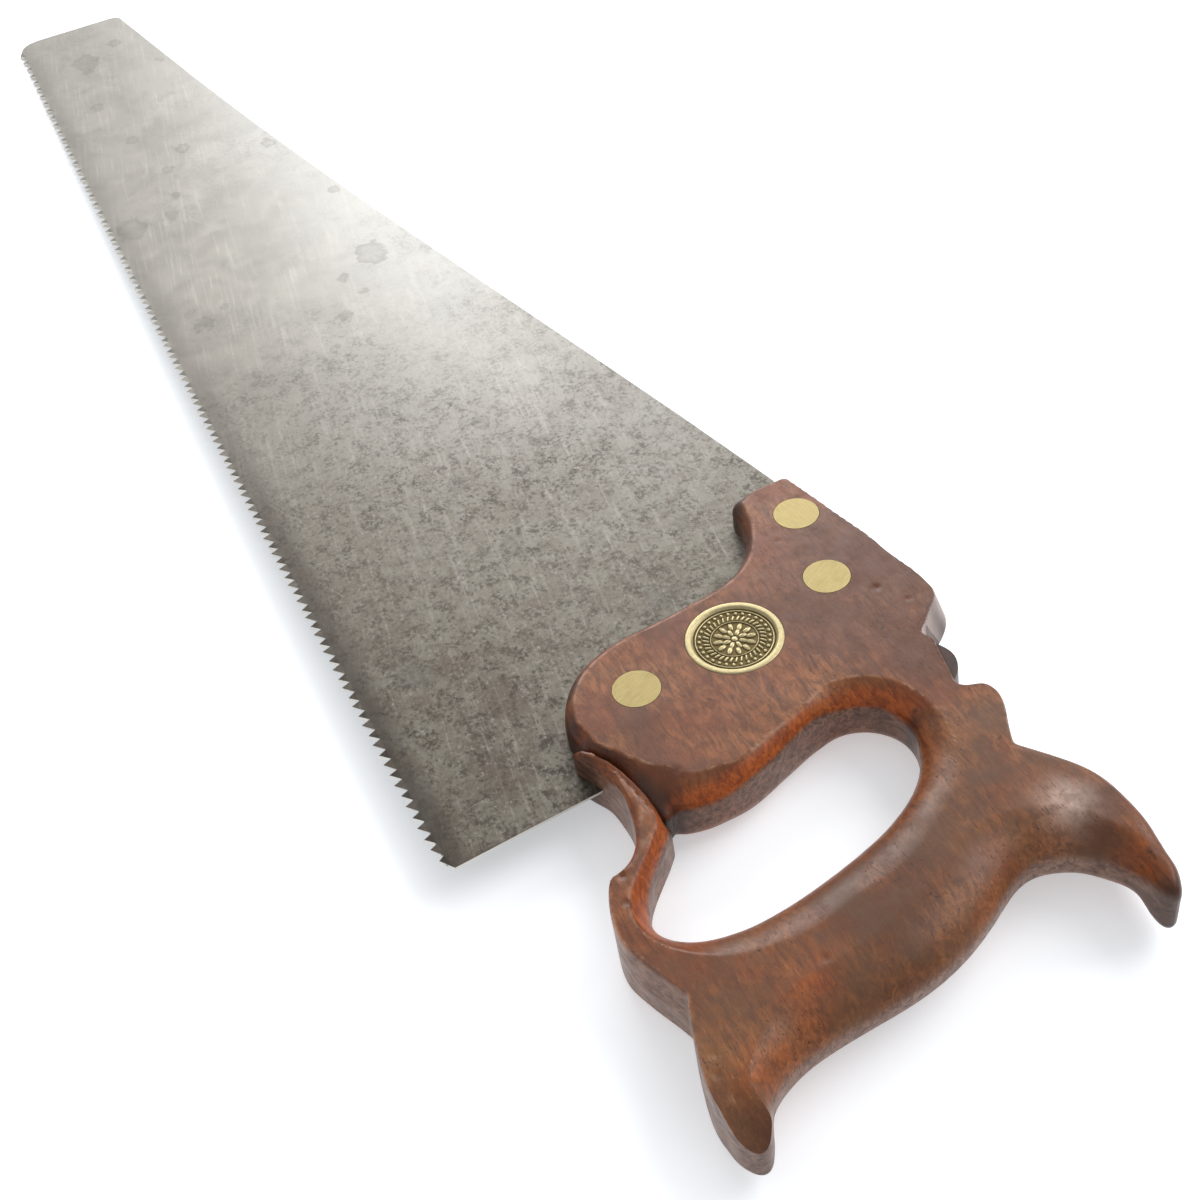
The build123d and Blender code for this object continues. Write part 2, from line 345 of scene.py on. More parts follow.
def chain_loops(segments):
    """Join loose segments end to end into closed outlines, largest first."""
    links = {}
    for index, segment in enumerate(segments):
        for end in segment:
            links.setdefault(tuple(np.round(end, 3)), []).append(index)
    unused = set(range(len(segments)))
    loops = []
    while unused:
        index = unused.pop()
        path = [segments[index][0], segments[index][1]]
        while True:
            key = tuple(np.round(path[-1], 3))
            following = [i for i in links[key] if i in unused]
            if not following:
                break
            index = following[0]
            unused.discard(index)
            near, far = segments[index]
            path.append(far if tuple(np.round(near, 3)) == key else near)
        loops.append(np.array(path))
    return sorted(loops, key=lambda loop: -abs(loop_area(loop)))


def loop_area(loop):
    """Signed area of a closed outline."""
    x, y = loop[:, 0], loop[:, 1]
    return 0.5 * np.sum(x * np.roll(y, -1) - np.roll(x, -1) * y)


def distance_to_path(points, path, chunk=4000):
    """Distance from each point to a polyline."""
    a, b = path[:-1], path[1:]
    run = b - a
    length2 = np.maximum((run**2).sum(1), 1e-12)
    result = np.empty(len(points))
    for start in range(0, len(points), chunk):
        p = points[start : start + chunk]
        offset = p[:, None] - a[None]
        share = np.clip((offset * run).sum(2) / length2, 0, 1)
        gap = offset - share[..., None] * run
        result[start : start + chunk] = np.sqrt((gap**2).sum(2).min(1))
    return result


def inside_loop(points, loop):
    """Whether each point lies inside a closed outline."""
    x, y = points[:, 0], points[:, 1]
    inside = np.zeros(len(points), bool)
    for (xa, ya), (xb, yb) in zip(loop[:-1], loop[1:]):
        if ya != yb:
            crosses = (ya > y) != (yb > y)
            inside ^= crosses & (x < (xb - xa) * (y - ya) / (yb - ya) + xa)
    return inside


def soften(grid, passes):
    """Blur a grid a little, to lose the facets of the CAD mesh."""
    for _ in range(passes):
        padded = np.pad(grid, 1, mode="edge")
        grid = (padded[:-2, 1:-1] + 2 * padded[1:-1, 1:-1] + padded[2:, 1:-1]) / 4
        padded = np.pad(grid, 1, mode="edge")
        grid = (padded[1:-1, :-2] + 2 * padded[1:-1, 1:-1] + padded[1:-1, 2:]) / 4
    return grid


def smooth_step(value, low, high):
    """0 below a range and 1 above it, with an easy change between."""
    share = np.clip((value - low) / (high - low), 0, 1)
    return share * share * (3 - 2 * share)


def smooth_drop(value, low, high):
    """1 below a range and 0 above it, with an easy change between."""
    return smooth_step(-value, -high, -low)


def random_grid(shape, seed, passes):
    """Smooth random values, about -1 to 1."""
    grid = soften(np.random.default_rng(seed).standard_normal(shape), passes)
    return grid / (2 * grid.std())


def smooth_max(a, b, width):
    """The larger of two values, blended where they are near each other."""
    share = np.clip(0.5 + 0.5 * (a - b) / width, 0, 1)
    return a * share + b * (1 - share) + width * share * (1 - share)


def edge_values(grid, names):
    """How the edge is worked at each place, mostly by the nearest of some named controls."""
    controls = np.array([EDGE_WORK[name] for name in names])
    reach = ((grid[:, None] - (controls[:, :2] + HEEL)[None]) ** 2).sum(2)
    weight = 1 / (reach + 1.0) ** (BLEND_POWER / 2)
    return (weight / weight.sum(1, keepdims=True)) @ controls[:, 2:]


def dips(spots, places):
    """The depth of soft round hollows, at places measured from the heel tooth."""
    drop = np.zeros(len(spots))
    for x, y, radius, depth in places:
        reach = np.hypot(spots[:, 0] - x, spots[:, 1] - y) / radius
        drop += depth * np.exp(-(reach**2))
    return drop


def nib_drop(spots):
    """How much lower the nib lies than the cheek, at places measured from the heel tooth."""
    start, end = np.array(NIB_LINE)
    run = (end - start) / np.hypot(*(end - start))
    offset = spots - start
    past = offset @ run
    out = offset @ np.array((-run[1], run[0]))
    nib = smooth_step(out, *NIB_STEP) * smooth_step(past, *NIB_START) * smooth_drop(past, *NIB_END)
    return nib * (NIB_DROP + NIB_FALL * np.maximum(out, 0))


class Maps:
    """Flat maps over the handle: the distance to its sides, and how each edge is worked."""

    def __init__(self):
        outer, hole = node_section("handle", SECTION_HEIGHT)[:2]
        self.low = outer.min(0) - MARGIN
        self.shape = tuple(np.ceil((outer.max(0) + MARGIN - self.low) / CELL).astype(int) + 1)
        grid = self.columns()
        spots = grid - HEEL
        to_outer = distance_to_path(grid, outer)
        to_hole = distance_to_path(grid, hole)
        wood = inside_loop(grid, outer) & ~inside_loop(grid, hole)
        distance = (np.minimum(to_outer, to_hole) * np.where(wood, -1, 1)).reshape(self.shape)
        self.maps = {
            "distance": self.round_tips(soften(distance, OUTLINE_PASSES), spots),
            "to_hole": to_hole.reshape(self.shape),
            "lowered": (nib_drop(spots) + dips(spots, DENTS)).reshape(self.shape),
            "sloped": dips(spots, SLOPES).reshape(self.shape),
        }
        self.add_groove(grid)
        self.add_edge_work(grid, to_outer - to_hole)
        self.maps["across"] *= 1 + WANDER * random_grid(self.shape, 11, 160)
        self.maps["lowered"] += HOLLOW * random_grid(self.shape, 12, 90) + HOLLOW

    def columns(self):
        """The x and y of every place of the maps, in mm."""
        xs = self.low[0] + CELL * np.arange(self.shape[0])
        ys = self.low[1] + CELL * np.arange(self.shape[1])
        return np.stack(np.meshgrid(xs, ys, indexing="ij"), -1).reshape(-1, 2)

    def round_tips(self, distance, spots):
        """The distance to the sides, with the horn's and the spur's tips rounded."""
        blunt = soften(distance, TIP_PASSES) - TIP_GAIN
        for x, y in TIPS:
            near = np.hypot(spots[:, 0] - x, spots[:, 1] - y).reshape(self.shape)
            share = smooth_drop(near, *TIP_REACH)
            distance = distance * (1 - share) + blunt * share
        return distance

    def add_groove(self, grid):
        """Map the distance to the groove, and the same with its sign, positive on the cheek."""
        groove = np.array(GROOVE_PATH) + HEEL
        gap = distance_to_path(grid, groove)
        beside = grid[:, 1] - np.interp(grid[:, 0], groove[:, 0], groove[:, 1])
        self.maps["groove"] = gap.reshape(self.shape)
        self.maps["above_groove"] = soften((np.sign(beside) * gap).reshape(self.shape), 1)

    def add_edge_work(self, grid, beyond_middle):
        """Map how the edges are worked, changing controls midway from the outline to the hand hole."""
        at_hole = edge_values(grid, [name for name in EDGE_WORK if name.startswith(("hole", "foot"))])
        at_outline = edge_values(grid, [name for name in EDGE_WORK if not name.startswith("hole")])
        share = smooth_step(beyond_middle, -SIDE_BLEND, SIDE_BLEND)[:, None]
        values = at_outline * (1 - share) + at_hole * share
        for column, name in enumerate(("across", "down", "arris", "lean")):
            self.maps[name] = soften(values[:, column].reshape(self.shape), BLEND_PASSES)

    def sample(self, name, x, y):
        """A map's value at points, smoothly interpolated."""
        grid = self.maps[name]
        u = np.clip((x - self.low[0]) / CELL, 0, self.shape[0] - 1.001)
        v = np.clip((y - self.low[1]) / CELL, 0, self.shape[1] - 1.001)
        i, j = u.astype(int), v.astype(int)
        u, v = u - i, v - j
        return (
            grid[i, j] * (1 - u) * (1 - v)
            + grid[i + 1, j] * u * (1 - v)
            + grid[i, j + 1] * (1 - u) * v
            + grid[i + 1, j + 1] * u * v
        )

    def cheek_share(self, x, y):
        """1 on the cheek's side of the groove and 0 on the tongue's."""
        return smooth_step(self.sample("above_groove", x, y), -GROOVE_BLEND, GROOVE_BLEND)


def rounded_field(distance, across, down, arris, lean, rise):
    """Signed distance-like field of a board whose edges are rounded by an elliptic profile."""
    shrunk = distance + lean * rise / HALF
    a = shrunk / across + 1
    b = (rise - (HALF + arris - down)) / down
    outside = np.sqrt(np.maximum(a, 0) ** 2 + np.maximum(b, 0) ** 2)
    return (outside + np.minimum(np.maximum(a, b), 0) - 1) * np.minimum(across, down)


def edge_distance(maps, x, y):
    """Distance to the nearest side of the wood, where the groove counts as a side."""
    distance = maps.sample("distance", x, y)
    gap = maps.sample("groove", x, y)
    cheek = smooth_max(distance, -gap, FOOT_BLEND)
    cheek = np.where(distance < 0, np.minimum(cheek, 0.0), cheek)
    tongue = np.maximum(distance, -gap)
    above = maps.cheek_share(x, y)
    return np.where(gap < GROOVE_SPAN, cheek * above + tongue * (1 - above), distance)


def edge_field(maps, points):
    """The handle's rounded sides, without its flat faces."""
    x, y, z = points.T
    gap = maps.sample("groove", x, y)
    above = maps.cheek_share(x, y)
    open_end = smooth_step(maps.sample("to_hole", x, y), *LIP_HOLE_FADE)
    open_end = open_end * smooth_step(-maps.sample("distance", x, y), *LIP_RIM_FADE)
    values = []
    for name, lip in zip(("across", "down", "arris", "lean"), LIP):
        value = maps.sample(name, x, y)
        lipped = value + (lip - value) * smooth_drop(gap, *LIP_REACH) * open_end
        values.append(np.where(gap < GROOVE_SPAN, value * above + lipped * (1 - above), value))
    return rounded_field(edge_distance(maps, x, y), *values, np.abs(z - HALF))


def flat_field(maps, points):
    """The two cheek faces, where they aren't cut lower."""
    x, y, z = points.T
    below = smooth_step(-maps.sample("above_groove", x, y), *TONGUE_BLEND)
    place, half, depth = LIP_GROOVE
    line = depth * np.clip(1 - np.abs(maps.sample("groove", x, y) - place) / half, 0, 1) * below
    drop = maps.sample("lowered", x, y) + maps.sample("sloped", x, y) * (z > HALF)
    return np.abs(z - HALF) - HALF + drop + line


def handle_field(maps, points):
    """The whole handle: negative in the wood."""
    return np.maximum(edge_field(maps, points), flat_field(maps, points))


# ---------------------------------------------------------------- meshing

CUBE = [(x, y, z) for x in (0, 1) for y in (0, 1) for z in (0, 1)]
CUBE_PAIRS = [(a, b) for a in CUBE for b in CUBE if sum(b) - sum(a) == 1]
CUBE_EDGES = [(a, b) for a, b in CUBE_PAIRS if all(p <= q for p, q in zip(a, b))]
# When points are moved onto a surface: its least slope squared, and the arris's limits, in cells
LEAST_SLOPE2 = 0.05
ARRIS_NEAR = 0.7
ARRIS_MOVE = 0.75
ARRIS_SLOPE = 0.35


def surface_net(field, origin, step):
    """A quad mesh of a field's zero surface: one vertex for each cell that it passes through."""
    inside = field < 0
    size = tuple(np.array(field.shape) - 1)
    counts = np.zeros(size, np.uint8)
    for x, y, z in CUBE:
        counts += inside[x : x + size[0], y : y + size[1], z : z + size[2]]
    cells = np.argwhere((counts > 0) & (counts < len(CUBE)))
    index = np.full(size, -1)
    index[tuple(cells.T)] = np.arange(len(cells))
    return origin + step * (cells + mean_crossing(field, cells)), net_faces(inside, index)


def mean_crossing(field, cells):
    """The middle of the points where the surface crosses a cell's edges, from 0 to 1 in the cell."""
    total = np.zeros((len(cells), 3))
    crossings = np.zeros(len(cells))
    for a, b in CUBE_EDGES:
        start = field[tuple((cells + a).T)]
        end = field[tuple((cells + b).T)]
        crossed = (start < 0) != (end < 0)
        share = np.where(crossed, start / np.where(start == end, 1, start - end), 0)
        total += np.where(crossed[:, None], np.array(a) + share[:, None] * (np.array(b) - a), 0)
        crossings += crossed
    return total / crossings[:, None]


def net_faces(inside, index):
    """A quad round each grid edge that the surface crosses, facing out of the solid."""
    quads = []
    for axis in range(3):
        first, second = (axis + 1) % 3, (axis + 2) % 3
        u, v = np.eye(3, dtype=int)[[first, second]]
        low = np.take(inside, range(inside.shape[axis] - 1), axis)
        high = np.take(inside, range(1, inside.shape[axis]), axis)
        spots = np.argwhere(low != high)
        spots = spots[(spots[:, first] > 0) & (spots[:, second] > 0)]
        corners = np.stack([index[tuple((spots - shift).T)] for shift in (0 * u, u, u + v, v)], 1)
        flip = ~low[tuple(spots.T)]
        corners[flip] = corners[flip][:, ::-1]
        quads.append(corners)
    return np.concatenate(quads)


def slope_of(field, points, reach=0.05):
    """Gradient of a field by central differences."""
    steps = np.eye(3) * reach
    return np.stack([(field(points + s) - field(points - s)) / (2 * reach) for s in steps], 1)


def settle(field, points, rounds=3, limit=0.5):
    """Move points onto a field's zero surface."""
    for _ in range(rounds):
        value = field(points)
        slope = slope_of(field, points)
        length2 = np.maximum((slope**2).sum(1), LEAST_SLOPE2)
        move = -slope * (value / length2)[:, None]
        size = np.maximum(np.linalg.norm(move, axis=1), 1e-9)
        points = points + move * np.minimum(1, limit * CELL / size)[:, None]
    return points


def snap_to_arris(maps, points, rounds=5):
    """Move the vertices beside a crisp arris onto it, so that the line isn't ragged."""
    edge, flat = partial(edge_field, maps), partial(flat_field, maps)
    near = np.maximum(np.abs(edge(points)), np.abs(flat(points))) < ARRIS_NEAR * CELL
    sharp = near & (np.linalg.norm(slope_of(edge, points)[:, :2], axis=1) > ARRIS_SLOPE)
    moved = points[sharp]
    for _ in range(rounds):
        moved[:, 2] -= np.sign(moved[:, 2] - HALF) * flat(moved)
        slope = slope_of(edge, moved)[:, :2]
        length2 = np.maximum((slope**2).sum(1), LEAST_SLOPE2)
        moved[:, :2] -= slope * (edge(moved) / length2)[:, None]
    close = np.abs(moved - points[sharp]).max(1) < ARRIS_MOVE * CELL
    result = points.copy()
    which = np.flatnonzero(sharp)[close]
    result[which] = moved[close]
    return result


def new_object(name, data, place=None):
    """A new object in the scene."""
    thing = bpy.data.objects.new(name, data)
    bpy.context.scene.collection.objects.link(thing)
    if place:
        thing.matrix_world = place
    return thing


def new_mesh(name, vertices, faces):
    """A mesh object from vertex and face lists."""
    mesh = bpy.data.meshes.new(name)
    mesh.from_pydata(np.asarray(vertices).tolist(), [], [list(map(int, f)) for f in faces])
    mesh.update()
    return new_object(name, mesh)


def cut_away(piece, cutters):
    """Cut pieces out of another, and throw the cutters away."""
    for cutter in cutters:
        modifier = piece.modifiers.new("cut", "BOOLEAN")
        modifier.operation = "DIFFERENCE"
        modifier.solver = "MANIFOLD"
        modifier.object = cutter
    bpy.context.view_layer.update()
    evaluated = piece.evaluated_get(bpy.context.evaluated_depsgraph_get())
    mesh = bpy.data.meshes.new_from_object(evaluated)
    piece.modifiers.clear()
    mesh.materials.clear()
    piece.data = mesh
    for cutter in cutters:
        bpy.data.objects.remove(cutter)


def face_outwards(piece, clip_ears=False):
    """Turn a piece's faces outwards, after cutting its large ones into triangles where asked."""
    edit = bmesh.new()
    edit.from_mesh(piece.data)
    if clip_ears:
        large = [face for face in edit.faces if len(face.verts) > 4]
        bmesh.ops.triangulate(edit, faces=large, ngon_method="EAR_CLIP")
    bmesh.ops.recalc_face_normals(edit, faces=edit.faces)
    edit.to_mesh(piece.data)
    edit.free()


def prism(name, outline, low, high):
    """A closed upright prism over an outline in mm."""
    count = len(outline)
    vertices = [(x * MM, y * MM, z * MM) for z in (low, high) for x, y in outline]
    sides = [(i, (i + 1) % count, count + (i + 1) % count, count + i) for i in range(count)]
    caps = [tuple(range(count))[::-1], tuple(range(count, 2 * count))]
    piece = new_mesh(name, vertices, sides + caps)
    face_outwards(piece)
    return piece


def ring(centre, radius, count=96):
    """Points round a circle."""
    turns = np.linspace(0, 2 * pi, count, endpoint=False)
    return [(centre[0] + radius * cos(t), centre[1] + radius * sin(t)) for t in turns]


def shade(piece, angle):
    """Smooth shading, but with edges sharper than the angle kept crisp."""
    for face in piece.data.polygons:
        face.use_smooth = True
    piece.data.set_sharp_from_angle(angle=radians(angle))


def middle_of(name):
    """The centre of a CAD node's box, in mm."""
    low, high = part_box(name)
    return tuple((low + high) / 2 / MM)


def add_value(piece, name, values):
    """Store one number for each vertex, for the material to read."""
    attribute = piece.data.attributes.new(name, "FLOAT", "POINT")
    attribute.data.foreach_set("value", np.asarray(values, np.float32))


def vertex_vectors(piece, name):
    """One vector of each vertex, as three rows."""
    values = np.empty(len(piece.data.vertices) * 3)
    piece.data.vertices.foreach_get(name, values)
    return values.reshape(-1, 3).T


def carved_surface(maps):
    """The handle's whole surface: its vertices in mm, and its quads."""
    layers = int(np.ceil((THICK + 2 * MARGIN) / CELL)) + 1
    origin = np.array((*maps.low, HALF - CELL * (layers - 1) / 2))
    columns = maps.columns()
    field = np.empty((len(columns), layers), np.float32)
    for layer in range(layers):
        heights = np.full(len(columns), origin[2] + CELL * layer)
        field[:, layer] = handle_field(maps, np.column_stack((columns, heights)))
    vertices, faces = surface_net(field.reshape(*maps.shape, layers), origin, CELL)
    return snap_to_arris(maps, settle(partial(handle_field, maps), vertices)), faces


def make_handle():
    """The carved handle, with its kerf and the seats for its brass."""
    maps = Maps()
    vertices, faces = carved_surface(maps)
    piece = new_mesh("handle_carved", vertices * MM, faces)
    cutters = [prism("kerf", np.array(KERF) + HEEL, PLATE_LOW, PLATE_HIGH)]
    for name, (radius, floor) in SEATS.items():
        shank = ring(middle_of(name), SHANK_HOLE, HOLE_SIDES)
        cutters.append(prism("seat", ring(middle_of(name), radius + SEAT_GAP), floor, THICK + OVERCUT))
        cutters.append(prism("hole", shank, -OVERCUT, floor + OVERCUT / 2))
    radius, depth = NUT_SEAT
    for name in NUTS:
        cutters.append(prism("nut_seat", ring(middle_of(name), radius), -OVERCUT, depth))
    cut_away(piece, cutters)
    shade(piece, HANDLE_CREASE)
    mark_handle(piece, maps)
    return piece


def spot_share(x, y, spots):
    """How strongly each place belongs to some soft round spots."""
    result = np.zeros(len(x))
    for spot_x, spot_y, spread, share in spots:
        reach = np.hypot(x - HEEL[0] - spot_x, y - HEEL[1] - spot_y) / spread
        result = np.maximum(result, share * np.exp(-(reach**2)))
    return result


def mark_handle(piece, maps):
    """Say where the wood is rolled over, worn, sharp or grimy, and where shade, sheen and highlights are
    painted, for its material.
    """
    place = vertex_vectors(piece, "co") / MM
    facing = np.abs(vertex_vectors(piece, "normal")[2])
    for marks in (carving_marks, wear_and_highlight_marks, dirt_and_shade_marks):
        for name, values in marks(maps, place, facing).items():
            add_value(piece, name, values)


def carving_marks(maps, place, facing):
    """The round-overs, the walls where shade, sheen and a reflection are painted, the crisp arrises and
    the lowered faces.
    """
    x, y, z = place
    down, arris = maps.sample("down", x, y), maps.sample("arris", x, y)
    reach = maps.sample("across", x, y) * (1 - np.sqrt(1 - np.clip(1 - arris / down, 0, 1) ** 2))
    crisp = np.clip(1 - np.abs(edge_distance(maps, x, y) + reach) / ARRIS_WIDTH, 0, 1)
    crisp *= smooth_step(np.abs(z - HALF) - HALF, -ARRIS_DEPTH[0], -ARRIS_DEPTH[1])
    leaning = smooth_step(maps.sample("lean", x, y), *PALE_LEAN) * (x - HEEL[0] < PALE_WALL_END)
    return {
        "rolled": smooth_drop(facing, *ROLLED_UPTO) * smooth_step(facing, *ROLLED_FROM),
        # upright walls, where painted shade and grey sheen go, partly grime
        "wall": smooth_drop(facing, *WALL_UPTO),
        # crisp arrises, where a pale line of wear and painted highlight goes
        "arris": crisp * smooth_step(arris, *ARRIS_WORK),
        # walls that lean in, where a pale reflection is painted
        "painted_wall_reflection": leaning * smooth_drop(facing, *PALE_WALL_UPTO),
        "lowered": smooth_step(maps.sample("lowered", x, y), *SUNK_DEPTH),
    }


def wear_and_highlight_marks(maps, place, facing):
    """Where hands have worn the varnish, where it has changed colour, and where a highlight is painted
    on the horn.
    """
    x, y, z = place
    edge_x, edge_y, slope = GRIP_EDGE
    grip_side = x - HEEL[0] - edge_x - slope * (edge_y - y + HEEL[1])
    upper = LOWER_WEAR + (1 - LOWER_WEAR) * smooth_step(z - HALF, *LOWER_HALF)
    hole_side = upper * np.exp(-((maps.sample("to_hole", x, y) / HOLE_WEAR_REACH) ** 2))
    above = maps.sample("above_groove", x, y) > 0
    reach = np.where(above, CHEEK_WEAR_REACH, TONGUE_WEAR_REACH)
    return {
        "hole_side": hole_side * (1 - GRIP_UNWORN * smooth_step(grip_side, *GRIP_CHANGE)),
        "foot": np.exp(-((maps.sample("groove", x, y) / reach) ** 2)),
        "held": smooth_step(grip_side, *HELD_FROM),
        "orange_spot": spot_share(x, y, ORANGE_SPOTS) * smooth_step(facing, *SPOT_FROM),
        # a painted highlight: a pale gloss patch on the horn's top face
        "painted_highlight_spot": spot_share(x, y, PAINTED_HIGHLIGHT_SPOTS) * (z > HALF),
    }


def dirt_and_shade_marks(maps, place, facing):
    """Painted shade in the groove and in the crease above it, partly dirt, and the dirt on the corners.
    """
    x, y, z = place
    rise = np.abs(z - HALF)
    gap = maps.sample("groove", x, y)
    # painted shade in the groove and in the crease above it, partly dirt
    crevice = smooth_drop(gap, *CREVICE_REACH) * smooth_drop(rise, *CREVICE_HIGH)
    crevice *= smooth_step(rise, *CREVICE_LOW)
    crease = smooth_drop(gap, *CREASE_REACH) * (maps.sample("above_groove", x, y) > 0)
    crease *= smooth_drop(facing, *CREASE_UPTO)
    return {
        "crevice": np.maximum(crevice, CREASE_SHARE * crease),
        "corner_grime": spot_share(x, y, GRIME_SPOTS) * smooth_drop(facing, *GRIME_UPTO),
    }


# ---------------------------------------------------------------- plate


def tooth_line():
    """For each tooth, from the heel to the toe: where its root and its point are, in mm."""
    rng = np.random.default_rng(7)
    run = TOOTH_DEPTH * tan(TOOTH_RAKE)
    teeth = []
    for number in range(TEETH):
        along = number * PITCH
        share = number / (TEETH - 1)
        root = LINE_Y - 4 * BREAST * share * (1 - share) + TOOTH_DEPTH
        worn = WORN[number] if number < len(WORN) else 1.0
        worn *= 1 - WEAR * rng.random() - TOE_WEAR * share * rng.random()
        point = (JITTER * rng.standard_normal() - along, root - TOOTH_DEPTH * worn)
        teeth.append((PITCH - TOOTH_FLAT - run - along, root, *point))
    return teeth


def plate_border():
    """The plate's outline in mm, from the heel's corner round the back to the toe, without its teeth."""
    outline = node_section("saw_plate", (PLATE_LOW + PLATE_HIGH) / 2)[0] - HEEL
    if loop_area(outline) < 0:
        outline = outline[::-1]
    x, y = outline.T
    border = outline[(y >= TOOTHED_TOP) | (x <= TOE_TOOTH[0] + 1) | (x >= TOOTHED_END)]
    first = int(np.argmin(np.hypot(*(border - HEEL_CORNER).T)))
    kept = []
    for point in np.roll(border, -first, axis=0):
        if not kept or np.hypot(*(point - kept[-1])) > SAME_POINT:
            kept.append(point)
    if np.hypot(*(kept[0] - kept[-1])) < SAME_POINT:
        kept.pop()
    return kept


class Sheet:
    """A plate's vertices and faces, from places in mm measured from the heel tooth."""

    def __init__(self):
        self.vertices, self.faces = [], []

    def point(self, x, y, z):
        """Add one vertex, and return its number."""
        self.vertices.append(((x + HEEL[0]) * MM, (y + HEEL[1]) * MM, z * MM))
        return len(self.vertices) - 1

    def pair(self, x, y, shift=0.0):
        """Add a vertex on the top face and one under it, moved apart along the plate."""
        return self.point(x + shift, y, PLATE_HIGH), self.point(x - shift, y, PLATE_LOW)

    def add_tooth(self, gullets, x, y, lean):
        """Add a tooth between two gullets, set to one side, with its point filed at a slant."""
        (right_top, right_low), (left_top, left_low) = gullets
        high_y, low_y = (y, y + FLEAM_DROP) if lean > 0 else (y + FLEAM_DROP, y)
        tip_top = self.point(x - TOOTH_FLAT / 2, high_y, PLATE_HIGH + lean * TOOTH_SET)
        tip_low = self.point(x - TOOTH_FLAT / 2, low_y, PLATE_LOW + lean * TOOTH_SET)
        self.faces += [(right_top, left_top, tip_top), (left_low, right_low, tip_low)]
        self.faces += [(right_low, right_top, tip_top, tip_low), (left_top, left_low, tip_low, tip_top)]

    def close(self, rim, roots):
        """Add the two large faces, and the rim's edge between them."""
        loop = [*rim, *roots[::-1]]
        self.faces.append(tuple(top for top, low in loop))
        self.faces.append(tuple(low for top, low in loop[::-1]))
        for (top_a, low_a), (top_b, low_b) in zip(rim[:-1], rim[1:]):
            self.faces.append((top_a, low_a, low_b, top_b))


def make_plate():
    """The saw plate, with its teeth bevelled and set to alternate sides."""
    border = plate_border()
    teeth = tooth_line()
    leans = [1 if number % 2 else -1 for number in range(TEETH)]
    sheet = Sheet()
    roots = [sheet.pair(*tooth[:2], lean * FLEAM_SHIFT) for tooth, lean in zip(teeth[1:], leans[1:])]
    heel, toe = sheet.pair(*border[0]), sheet.pair(*TOE_TOOTH)
    gullets = [heel, *roots, toe]
    for number, lean in enumerate(leans):
        sheet.add_tooth(gullets[number : number + 2], *teeth[number][2:], lean)
    sheet.close([heel, *[sheet.pair(*point) for point in border[1:]], toe], roots)
    piece = new_mesh("saw_plate_toothed", sheet.vertices, sheet.faces)
    face_outwards(piece, clip_ears=True)
    holes = [ring(middle_of(name), SHANK_HOLE, HOLE_SIDES) for name in SEATS]
    cut_away(piece, [prism("hole", hole, PLATE_LOW - OVERCUT, PLATE_HIGH + OVERCUT) for hole in holes])
    return piece


# ---------------------------------------------------------------- medallion


def dome(share):
    """The height of a rounded ridge: 1 at its middle, and 0 at its edges and beyond."""
    return np.sqrt(np.clip(1 - share**2, 0, 1))


def off_centre(radius, turn, count, shift=0.0):
    """How far round the disc each place is from the nearest of some evenly spaced centres, in mm."""
    phase = (turn * count / (2 * pi) + shift) % 1 - 0.5
    return phase * 2 * pi * radius / count


def medallion_relief(radius, turn):
    """The struck pattern's height from 0 to 1: a ring of beads and bars round a wreath and a rosette."""
    relief = sum(height * dome((radius - middle) / half) for middle, half, height in RIDGES)
    count, middle, size = BEADS
    bead = np.hypot(off_centre(radius, turn, count), radius - middle) / size
    relief = np.maximum(relief, dome(bead))
    count, middle, long, wide = BARS
    across = off_centre(radius, turn, count) + BAR_SLANT * (radius - middle)
    bar = dome(across / wide) * dome(((radius - middle) / long) ** 2)
    relief = np.maximum(relief, bar)
    for count, middle, long, wide, shift in LEAVES:
        across = off_centre(radius, turn, count, shift)
        leaf = np.clip(1 - ((radius - middle) / long) ** 2, 0, 1)
        body = np.sqrt(np.clip(leaf - (across / wide) ** 2, 0, 1))
        relief = np.maximum(relief, body - VEIN_DEPTH * (np.abs(across) < VEIN) * body)
    size, height = BOSS
    return np.maximum(relief, height * dome(radius / size))


def medallion_face(radius, turn):
    """The face's height in mm, and how far each place stands up to be rubbed bright, from 0 to 1."""
    relief = medallion_relief(radius, turn)
    off_middle = np.clip(np.abs(radius - (MEDAL_R - RIM_HALF)) / RIM_HALF, 0, 3)
    rim = MEDAL_TOP - np.minimum(RIM_FALL * off_middle**4, RIM_FALL_MOST)
    share = smooth_step(radius - MEDAL_INNER, *RIM_BEGINS)
    height = (MEDAL_GROUND + MEDAL_RELIEF * relief) * (1 - share) + rim * share
    return height, np.maximum(relief * (1 - share), share * RIM_SHINE)


